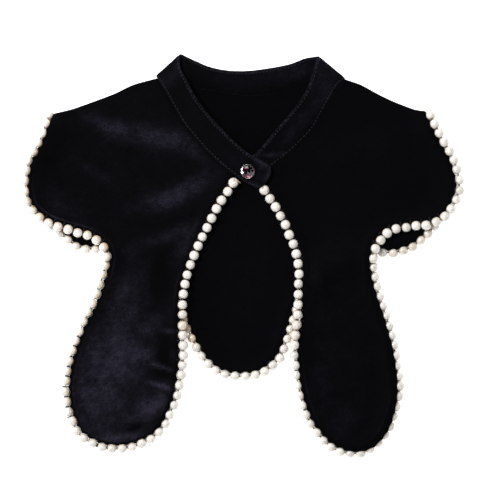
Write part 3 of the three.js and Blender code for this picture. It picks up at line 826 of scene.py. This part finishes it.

# Folds, painted sheen and painted highlights on the edge crests of each panel, as x, y, degrees, half length, half
# width, and height or strength; the base amount is the panel's overall painted sheen
leftLook = {
    "seed": 11, "wave": 0.8, "napSheen": 0.03,
    "folds": [
        (-64, -60, 8, 13, 2.6, 0.6), (-62, -78, 4, 12, 2.4, 0.6), (-70, -99, -6, 13, 2.2, 0.9),
        (-73, -116, -14, 13, 2.4, 0.9), (-74, -133, -32, 16, 3.4, 0.7), (-72, -40, 12, 12, 3, 0.4),
        (-98, 108, -14, 46, 11, 1.2), (-84, 40, 12, 34, 9, 0.9), (-104, -84, 56, 26, 10, 0.8),
        (-138, -112, 84, 26, 7, 0.6), (-116, -150, -8, 26, 7, 0.7),
    ],
    "sheen": [
        (-132, 120, -24, 12, 3.5, 0.16), (-114, 113, -20, 15, 6, 0.34), (-92, 107, -14, 30, 9, 0.16),
        (-66, 103, -10, 26, 8, 0.34), (-44, 91, -30, 14, 6, 0.12), (-130, 74, -36, 20, 4, 0.10),
        (-51, 57, 24, 26, 7, 0.34), (-74, 48, 8, 20, 7, 0.26), (-38, 70, 36, 14, 5, 0.08),
        (-66, 18, 20, 26, 5, 0.26), (-50, 10, 56, 16, 6, 0.24), (-160, 46, -38, 24, 9, 0.12),
        (-104, -36, 64, 30, 18, 0.20), (-108, -35, 60, 10, 5, 0.16), (-112, -76, 60, 40, 20, 0.25),
        (-82, -62, 40, 15, 7, 0.34), (-96, -90, 24, 22, 12, 0.46), (-130, -112, 80, 42, 20, 0.42),
        (-80, -133, 44, 20, 7, 0.85), (-98, -138, 30, 24, 10, 0.20), (-104, -120, 30, 26, 16, 0.22),
        (-104, -160, 6, 34, 5, 0.60), (-93, -149, 36, 11, 4.5, -0.42), (-132, -150, -34, 20, 5, 0.20),
        (-63, -66, -4, 8, 2, 0.42), (-71, -97.5, -18, 9, 1.7, 0.85), (-71, -114, -17, 10, 1.8, 0.95),
        (-60, -88, -60, 8, 3, 0.16), (-69, -83, 84, 12, 8, -0.20),
        (-64, -105, -18, 12, 2.6, -0.40), (-62, -123, -17, 10, 3, -0.30), (-75, -24, 84, 22, 9, -0.12),
    ],
    "crestHighlight": [
        (-158, 36, -30, 30, 12, 0.6), (-124, 4, -64, 18, 8, 0.4), (-118, -8, -80, 12, 8, 0.15),
        (-140, -118, 84, 34, 16, 0.22), (-112, -165, 0, 44, 12, 0.34), (-66, -132, 60, 22, 10, 0.24),
        (-30, 20, 60, 30, 8, 0.16), (-57, -30, 88, 20, 8, 0.16),
    ],
}
rightLook = {
    "seed": 23, "wave": 0.7, "napSheen": 0.012,
    "folds": [
        (64, -60, -6, 13, 3, 0.5), (62, -88, 3, 13, 3, 0.6), (68, -124, 30, 15, 3.4, 0.6),
        (96, 96, 18, 44, 12, 0.8), (92, 36, -6, 34, 9, 0.6), (98, -96, 96, 34, 12, 0.7),
    ],
    "sheen": [
        (66, -120, 84, 40, 12, 0.07), (86, -148, 50, 24, 10, 0.09), (112, 100, 20, 34, 12, 0.02),
        (62, -40, 88, 36, 8, 0.04), (90, -90, 90, 60, 30, 0.02), (82, -14, 88, 40, 24, 0.02),
    ],
    "crestHighlight": [(60, -120, 84, 40, 10, 0.16), (160, 36, 20, 26, 10, 0.10), (120, -150, 60, 30, 10, 0.12)],
}
backLook = {
    "seed": 37, "wave": 0.16, "napSheen": 0.012,
    "folds": [(-10, -60, 80, 30, 8, 0.3), (20, -20, 95, 34, 10, 0.3)],
    "sheen": [(0, -40, 90, 40, 20, 0.01)],
    "crestHighlight": [(0, -98, 0, 30, 10, 0.06)],
}

backPanel = clothPanel("backPanel", backOutline, backPlaces, lambda p: np.full(len(p), backRest), backLook)
leftFront = clothPanel("leftFront", leftOutline, leftPlaces, frontRest, leftLook)
rightFront = clothPanel("rightFront", rightOutline, rightPlaces, frontRest, rightLook)
print("velvet panels made")


# Stand band: one strip with rolled edges and two rows of topstitching
bandLook = {
    "step": 1.3, "half": 1.3, "endRound": 2.2, "tipRows": (0, 0.12, 0.4, 0.8, 1.3, 2.0, 2.8, 3.8, 5.0, 6.2),
    "low": [(0.2, 0.25), (0.4, 0.7), (0.8, 1.05), (1.4, 1.3), (2.1, 1.05), (2.8, 1.3), (4.2, 1.4)],
    "high": [
        (5.2, 1.4), (3.4, 1.38), (2.7, 1.28), (2.0, 1.02), (1.4, 1.28),
        (0.9, 1.25), (0.45, 0.95), (0.15, 0.55), (0, 0.12),
    ],
    "middle": 6, "fullHeight": 13, "tabRound": 6.5, "tabTip": 0.62, "napSheen": 0.025, "edgeSheen": 0.7,
    "pucker": {"height": 0.5, "count": 7, "turn": 0.6, "at": 9.5, "width": 4.5, "until": 60},
    "ripple": {"height": 0.22, "along": 9, "up": 14}, "uneven": {"height": 0.16, "along": 2.2, "up": 5},
    "creaseHighlight": {"at": 0.7, "width": 0.5, "seam": 0.7, "even": 0.5, "broken": 1.1, "along": 3.1},  # painted highlight along the folded top edge and beside the seam
    # painted sheen patches as x, y, degrees, half length, half width, strength
    "sheen": [
        (24, 73, 66, 7, 2.6, 0.75), (12, 86, -38, 12, 1.8, 0.4), (15, 70, -24, 8, 4, 0.10), (17, 80, -36, 6, 3, 0.3),
        (-4, 84, -50, 12, 6, 0.05), (-66, 155, 48, 14, 7, 0.12), (-56, 170, 60, 8, 4, 0.16),
        (30, 158, 8, 26, 8, 0.12), (52, 163, 16, 14, 8, 0.22), (-10, 154, -4, 20, 7, 0.06),
        (74, 160, 60, 14, 8, 0.22), (70, 140, 62, 16, 8, 0.16), (46, 112, 46, 22, 6, 0.16),
        (26, 89, 4, 13, 1.8, 0.34), (14, 61, -30, 8, 2, 0.26),
    ],
}
bandRows = bandTab + bandLeftFront + bandLeftFold + bandBack + bandRightFold + bandRightFront + bandUnderlap
button = {"x": 5, "y": 74.5, "seat": 12.9, "turn": -0.86, "tilt": 0.23}


def bandFrames():
    seam, top = curveThrough([r[:3] for r in bandRows]), curveThrough([r[3:] for r in bandRows])
    both = np.column_stack([(seam + top) / 2, seam, top])
    total = distancesAlong(both)[-1]
    *tipPlaces, rest = bandLook["tipRows"]
    places = np.concatenate([tipPlaces, np.linspace(rest, total, round((total - rest) / bandLook["step"]) + 1)])
    middle, seam, top = np.split(atDistances(both, places), 3, axis=1)
    wide = np.maximum(rounded(places, bandLook["tabRound"]), 0.05)[:, None]  # the tab is drawn in to a round tip
    tip = seam + (top - seam) * bandLook["tabTip"]
    seam, top = tip + (seam - tip) * wide, tip + (top - tip) * wide
    rise = unit(top - seam)
    out = unit(np.cross(rise, unit(np.gradient(middle, axis=0))))
    return {"seam": seam, "rise": rise, "out": out, "height": np.linalg.norm(top - seam, axis=1), "along": places}


def bandSection(height):  # rows of height and half thickness, from the seam to the top edge
    small = min(1, height / bandLook["fullHeight"])
    low = [(up * small, half * small**0.3) for up, half in bandLook["low"]]
    high = [(height - down * small, half * small**0.3) for down, half in bandLook["high"]]
    between = np.linspace(low[-1][0], high[0][0], bandLook["middle"] + 2)[1:-1]
    return low + [(up, bandLook["half"]) for up in between] + high


def tubeFaces(start, rows, sides, turned=False):  # quads from ring to ring, and a cap at each end
    faces = []
    last = start + (rows - 1) * sides
    for a in range(start, last, sides):
        b = a + sides
        for k in range(sides):
            j = (k + 1) % sides
            faces.append((a + k, b + k, b + j, a + j) if turned else (a + k, a + j, b + j, b + k))
    caps = tuple(range(start, start + sides)), tuple(range(last, last + sides))
    return faces + ([caps[0], caps[1][::-1]] if turned else [caps[0][::-1], caps[1]])


def neckBand():
    frames = bandFrames()
    pucker, ripple, uneven, creaseHighlight = (bandLook[k] for k in ("pucker", "ripple", "uneven", "creaseHighlight"))
    total = frames["along"][-1]
    points, napSheen = [], []
    for i, along in enumerate(frames["along"]):
        height = frames["height"][i]
        section = bandSection(height)
        thin = max(0.12, rounded(min(along, total - along), bandLook["endRound"]))
        for up, half, side in [(*row, 1) for row in section] + [(*row, -1) for row in reversed(section)]:
            place = frames["seam"][i] + frames["rise"][i] * up
            dx, dy = place[:2] - [button["x"], button["y"]]
            folds = pucker["height"] * bell(math.hypot(dx, dy), pucker["at"], pucker["width"])
            folds *= math.cos(pucker["count"] * math.atan2(dy, dx) + pucker["turn"]) * (along < pucker["until"])
            inside = math.sin(math.pi * (up / height))
            wave = ripple["height"] * noiseAt(along / ripple["along"], up / ripple["up"], 3 + side) * inside
            fine = uneven["height"] * noiseAt(along / uneven["along"], up / uneven["up"], 9)
            across = side * (half * thin + (folds + wave) * inside + fine * thin)
            points.append(place + frames["out"][i] * across)
            # painted highlight: paler along the folded top edge and beside the seam, broken up by noise
            edge = bell(height - up, creaseHighlight["at"], creaseHighlight["width"])
            edge += creaseHighlight["seam"] * bell(up, creaseHighlight["at"], creaseHighlight["width"])
            broken = max(0, creaseHighlight["even"] + creaseHighlight["broken"] * noiseAt(along / creaseHighlight["along"], side * 4, 21))
            napSheen.append(bandLook["napSheen"] + bandLook["edgeSheen"] * edge * broken)
    rows = len(frames["along"])
    points = np.array(points)
    piece = pieceFrom("standBand", points, tubeFaces(0, rows, len(points) // rows, True), velvet)
    carry(piece, "napSheen", np.clip(np.array(napSheen) + blots(points, bandLook["sheen"]), 0, edgeLook["mostSheen"]))
    carry(piece, "lobe", np.ones(len(points)))
    return piece, frames


standBand, bandFrame = neckBand()
print("stand band made")


# Thread: tubes along short paths
def tubeAlong(paths, thick, sides):
    points, faces, start = [], [], 0
    for path in paths:
        path = np.asarray(path, float)
        way = unit(np.gradient(path, axis=0))
        helper = np.where(np.abs(way[:, 2:]) > 0.9, [[1.0, 0, 0]], [[0, 0, 1.0]])
        side = unit(np.cross(helper, way))
        up = np.cross(way, side)
        angles = [math.tau * k / sides for k in range(sides)]
        rings = [path + thick * (math.cos(angle) * side + math.sin(angle) * up) for angle in angles]
        points.append(np.stack(rings, axis=1).reshape(-1, 3))
        faces += tubeFaces(start, len(path), sides)
        start += len(path) * sides
    return np.vstack(points), faces


whipLook = {
    "thick": 0.17, "sides": 4, "lean": 0.25, "loose": 3.6, "strands": (0.26, -0.26), "looseStrands": (0, 0.34, -0.34),
    "over": [(5.8, -0.1), (4.8, 0.2), (3.0, 0.45), (1.2, 0.5), (0, 0.65)],
    "back": [(-0.6, 0), (0, -0.65), (1.2, -0.5), (3.0, -0.5), (4.8, -0.3), (5.8, -0.2)],
    "looseAt": [  # where the thread's ends stand out
        (-156, -104, 88, 26, 12, 0.9), (-152, -134, 80, 16, 12, 1), (-126, -168, 0, 24, 12, 0.6),
        (-126, -22, -60, 12, 10, 0.5), (-145, -70, 70, 20, 8, 0.5),
    ],
}


def whipStitches(name, pearls, seed):
    random.seed(seed)
    middles = (pearls[1:, :3] + pearls[:-1, :3]) / 2
    forward = unit(pearls[1:, :3] - pearls[:-1, :3])
    loose = blots(middles, whipLook["looseAt"])
    paths = []
    for middle, way, standsOut in zip(middles, forward, loose):
        inwards = unit(np.cross([0, 0, 1], way))
        lean = random.uniform(-whipLook["lean"], whipLook["lean"])
        past = whipLook["loose"] * min(standsOut, 1) * random.uniform(0.4, 1.1)
        isLoose = standsOut >= 0.5
        outline = whipLook["over"] + ([(-past, 0.3)] if isLoose else whipLook["back"])
        for strand in whipLook["looseStrands" if isLoose else "strands"]:
            paths.append([middle + inwards * a + [0, 0, b] + way * (lean * (1 - a / 5) + strand) for a, b in outline])
    points, faces = tubeAlong(paths, whipLook["thick"], whipLook["sides"])
    return pieceFrom(name, points, faces, blackThread)


coreLook = {
    "step": 3, "thick": 0.45, "sides": 6,
    "knot": [(0.6, -0.8, 4.2), (1.6, -1.8, 4.4), (2.5, -2.6, 3.8), (3.3, -3.3, 2.8), (3.8, -3.9, 1.6)],
}


def coreThread(name, line, *ends):
    points, faces = tubeAlong([evenly(line, coreLook["step"]), *ends], coreLook["thick"], coreLook["sides"])
    return pieceFrom(name, points, faces, tanThread)


whipLeft = whipStitches("whipStitchesLeft", leftPlaces, seed=15)
whipRight = whipStitches("whipStitchesRight", rightPlaces, seed=16)
whipBack = whipStitches("whipStitchesBack", backPlaces, seed=17)
coreLeft = coreThread("stringThreadLeft", leftString, leftString[-1] + coreLook["knot"])
coreRight = coreThread("stringThreadRight", rightString)
coreBack = coreThread("stringThreadBack", backString)


stitchLook = {
    "length": 1.9, "gap": 1.3, "thick": 0.26, "sides": 5, "inset": 2.05, "fromEnds": 6,
    "shares": np.array([0, 0.12, 0.5, 0.88, 1]), "heights": np.array([[0.75], [1.17], [1.17], [1.17], [0.75]]),
}


def bandStitches():
    along, inset, fromEnds = bandFrame["along"], stitchLook["inset"], stitchLook["fromEnds"]
    starts = np.arange(fromEnds, along[-1] - fromEnds, stitchLook["length"] + stitchLook["gap"])
    paths = []
    for side, fromTop in ((1, False), (1, True), (-1, True)):
        for start in starts:
            at = start + stitchLook["shares"] * stitchLook["length"]
            seam, rise, out, height = (
                np.column_stack([np.interp(at, along, v) for v in bandFrame[name].reshape(len(along), -1).T])
                for name in ("seam", "rise", "out", "height")
            )
            up = height - inset if fromTop else inset
            paths.append(seam + rise * up + out * side * stitchLook["heights"])
    points, faces = tubeAlong(paths, stitchLook["thick"], stitchLook["sides"])
    return pieceFrom("bandTopstitching", points, faces, stitchThread)


topstitching = bandStitches()
print("threads made")


# Button: a silver cup on its shank, and a cut stone in it
buttonPlace = (
    Matrix.Translation(Vector((button["x"], button["y"], button["seat"])) * mm)
    @ Matrix.Rotation(button["turn"], 4, "Z")
    @ Matrix.Rotation(button["tilt"], 4, "X")
)
cupLook = {"sides": 48, "profile": [
    (1.4, -3.4), (1.4, -0.5), (1.9, -0.1), (5.3, 0.05), (6.0, 0.45), (6.35, 1.0), (6.4, 1.8), (6.33, 2.05),
    (6.2, 2.1), (6.1, 1.95), (5.8, 1.2), (4.6, 1.0),
]}
stoneLook = {
    "sides": 12, "profile": [(4.6, 1.25), (6.05, 2.0), (6.1, 2.25), (4.9, 3.1), (3.2, 3.8)],
    "twistAbove": 2.5, "tableAbove": 3.5, "tableInset": 1.2, "rimFrom": 4.7, "middleFrom": 2.2,
    # facet colours: the stone's own rose, plum and dark, and painted reflections in white, pale, silver and smoke,
    # brightest on the left
    "tones": {
        "dark": (0.002, 0.002, 0.003), "smoke": (0.04, 0.045, 0.04), "silver": (0.24, 0.24, 0.26),
        "white": (0.95, 0.95, 0.97), "pale": (0.55, 0.55, 0.56), "rose": (0.45, 0.17, 0.24),
        "plum": (0.10, 0.02, 0.05),
    },
    # anticlockwise, from the right
    "rim": ["rose", "rose", "smoke", "pale", "white", "silver", "rose", "pale"],
    "middle": ["silver", "dark", "smoke", "plum", "dark", "silver", "rose", "pale"],
    "core": ["dark", "dark", "smoke", "plum", "dark", "dark", "pale", "dark"],
    "wander": 0.4, "darkened": 0.15,
}


def turnedUp(name, look):  # a disc drawn upwards ring by ring, as on a lathe
    (first, low), *rest = look["profile"]
    bpy.ops.object.select_all(action="DESELECT")
    bpy.ops.mesh.primitive_circle_add(
        vertices=look["sides"], radius=first * mm, fill_type="NGON", location=(0, 0, low * mm))
    piece = bpy.context.object
    piece.name = name
    toEditMode("SELECT")
    for wide, high in rest:
        centre = (0, 0, high * mm)
        bpy.ops.mesh.extrude_region_move(TRANSFORM_OT_translate={"value": (0, 0, (high - low) * mm)})
        bpy.ops.transform.resize(value=(wide / first, wide / first, 1), center_override=centre)
        if high > look.get("twistAbove", high):
            bpy.ops.transform.rotate(value=math.pi / look["sides"], orient_axis="Z", center_override=centre)
        first, low = wide, high
    bpy.ops.mesh.select_all(action="SELECT")
    bpy.ops.mesh.normals_make_consistent(inside=False)
    toObjectMode()
    bpy.ops.object.transform_apply(location=True, rotation=True, scale=True)
    return piece


def placeButtonPart(piece, material):
    piece.data.transform(buttonPlace)
    piece.data.materials.clear()
    piece.data.materials.append(material)
    piece.select_set(False)


buttonCup = turnedUp("buttonCup", cupLook)
for polygon in buttonCup.data.polygons:
    polygon.use_smooth = True
placeButtonPart(buttonCup, silverPlate)

buttonStone = turnedUp("buttonStone", stoneLook)
editFaces(buttonStone, lambda face: len(face.vertices) > 4 and face.center.z > stoneLook["tableAbove"] * mm)
bpy.ops.mesh.inset(thickness=stoneLook["tableInset"] * mm, depth=0)
bpy.ops.mesh.poke()
bpy.ops.mesh.select_all(action="SELECT")
bpy.ops.mesh.quads_convert_to_tris(quad_method="BEAUTY", ngon_method="BEAUTY")
toObjectMode()
placeButtonPart(buttonStone, cutStone)
random.seed(41)
facets = buttonStone.data.attributes.new("facet", "FLOAT_COLOR", "CORNER")
# each facet is coloured by its ring and its direction from the middle: painted reflections mixed with the stone's own
# tones, and some facets dark at random
for polygon in buttonStone.data.polygons:
    dx, dy = polygon.center.x / mm - button["x"], polygon.center.y / mm - button["y"]
    wander = random.uniform(-stoneLook["wander"], stoneLook["wander"])
    eighth = round(math.atan2(dy, dx) / (math.tau / 8) + wander) % 8
    away = math.hypot(dx, dy)
    ring = "rim" if away > stoneLook["rimFrom"] else "middle" if away > stoneLook["middleFrom"] else "core"
    tone = stoneLook[ring][eighth] if random.random() > stoneLook["darkened"] else "dark"
    for corner in polygon.loop_indices:
        facets.data[corner].color = (*stoneLook["tones"][tone], 1)
print("button made")

# Floor and light
stageLook = {
    "floor": (0.92, 0.92, 0.92, 1), "shade": (0.90, 0.90, 0.90, 1), "grainSize": 0.3, "half": 2.2, "drop": 0.0004,
    "even": {"Roughness": 0.9, "Specular IOR Level": 0.1, "Emission Color": (1, 1, 1, 1), "Emission Strength": 0.72},
    "world": 0.3,
}
bpy.ops.object.select_all(action="DESELECT")
bpy.ops.mesh.primitive_plane_add(size=2 * stageLook["half"], location=(0, 0, -stageLook["drop"]))
floor = bpy.context.object
floor.name = "floor"
f = Finish("pale floor")
grain = f.cloud(f.place(), stageLook["grainSize"])
paleTone = f.blend(grain, stageLook["floor"], stageLook["shade"])
floor.data.materials.append(f.finished(stageLook["even"], Base_Color=paleTone))

world = bpy.data.worlds.new("studio")
world.use_nodes = True
world.node_tree.nodes["Background"].inputs["Color"].default_value = (1, 1, 1, 1)
world.node_tree.nodes["Background"].inputs["Strength"].default_value = stageLook["world"]
bpy.context.scene.world = world
softboxes = {  # place, watts and size
    "keyLight": ((-0.7, 0.6, 1.4), 26, 0.6),
    "leftLight": ((-1.7, -0.1, 0.55), 11, 1.0),
    "rightLight": ((1.7, 0.1, 0.55), 4, 1.0),
    "frontLight": ((0.1, -1.7, 0.55), 5, 1.0),
    "backLight": ((-0.1, 1.7, 0.55), 7, 1.0),
}
for lightName, (spot, watts, size) in softboxes.items():
    lightData = bpy.data.lights.new(lightName, "AREA")
    lightData.shape = "SQUARE"
    lightData.size = size
    lightData.energy = watts
    light = bpy.data.objects.new(lightName, lightData)
    bpy.context.collection.objects.link(light)
    light.location = spot
    light.rotation_euler = (-light.location).to_track_quat("-Z", "Y").to_euler()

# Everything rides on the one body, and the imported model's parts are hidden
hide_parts("back_panel")
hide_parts("front_panel_left")
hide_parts("front_panel_right")
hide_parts("neck_band")
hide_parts("button_setting")
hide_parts("button_crystal")
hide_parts("pearls_front_left")
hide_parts("pearls_front_right")
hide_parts("pearls_back")
slots = {
    "velvet": [backPanel, leftFront, rightFront, standBand, whipLeft, whipRight, whipBack, topstitching],
    "pearl": [pearlsLeft, pearlsRight, pearlsBack, coreLeft, coreRight, coreBack],
    "silver": [buttonCup], "crystal": [buttonStone],
}
for slotName, slotPieces in slots.items():
    for piece in slotPieces:
        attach(piece, "root")

print("scene finished")
